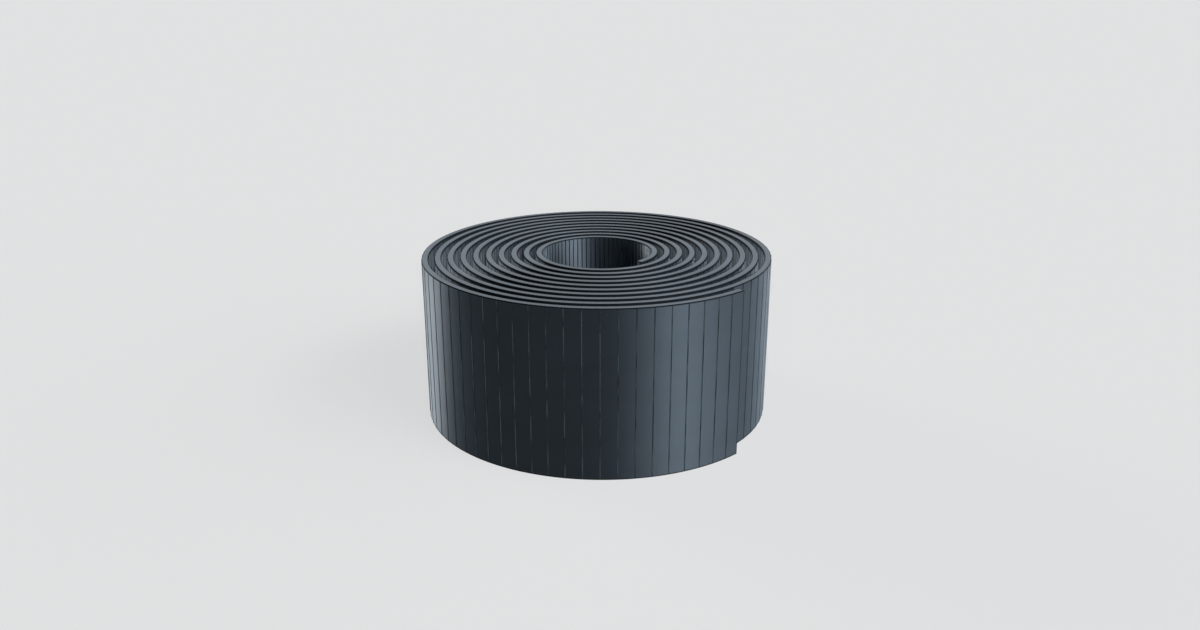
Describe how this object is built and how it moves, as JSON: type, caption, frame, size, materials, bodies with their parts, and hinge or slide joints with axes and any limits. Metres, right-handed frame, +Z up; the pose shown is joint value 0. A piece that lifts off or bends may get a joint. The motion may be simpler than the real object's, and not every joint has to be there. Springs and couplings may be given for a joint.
{
  "type": "spiral torsion spring",
  "caption": "Flat spiral spring wound on edge from a steel strip, with open even gaps and plain cut ends, for torque between an arbor and a housing.",
  "frame": {"origin": "on the axis of the spiral, in the plane of the strip's lower edge", "axes": "+Z up along the spiral's axis. Both strip ends lie at 315 degrees, counter-clockwise from +X, and from the inner end the strip winds outwards counter-clockwise, seen from above"},
  "size_m": [0.0556, 0.0565, 0.0258],
  "materials": {
    "spring_steel": "dark blued, cold rolled, satin, with brighter slit edges"
  },
  "bodies": {
    "root": {"spiral_spring": "spring_steel"}
  },
  "joints": []
}
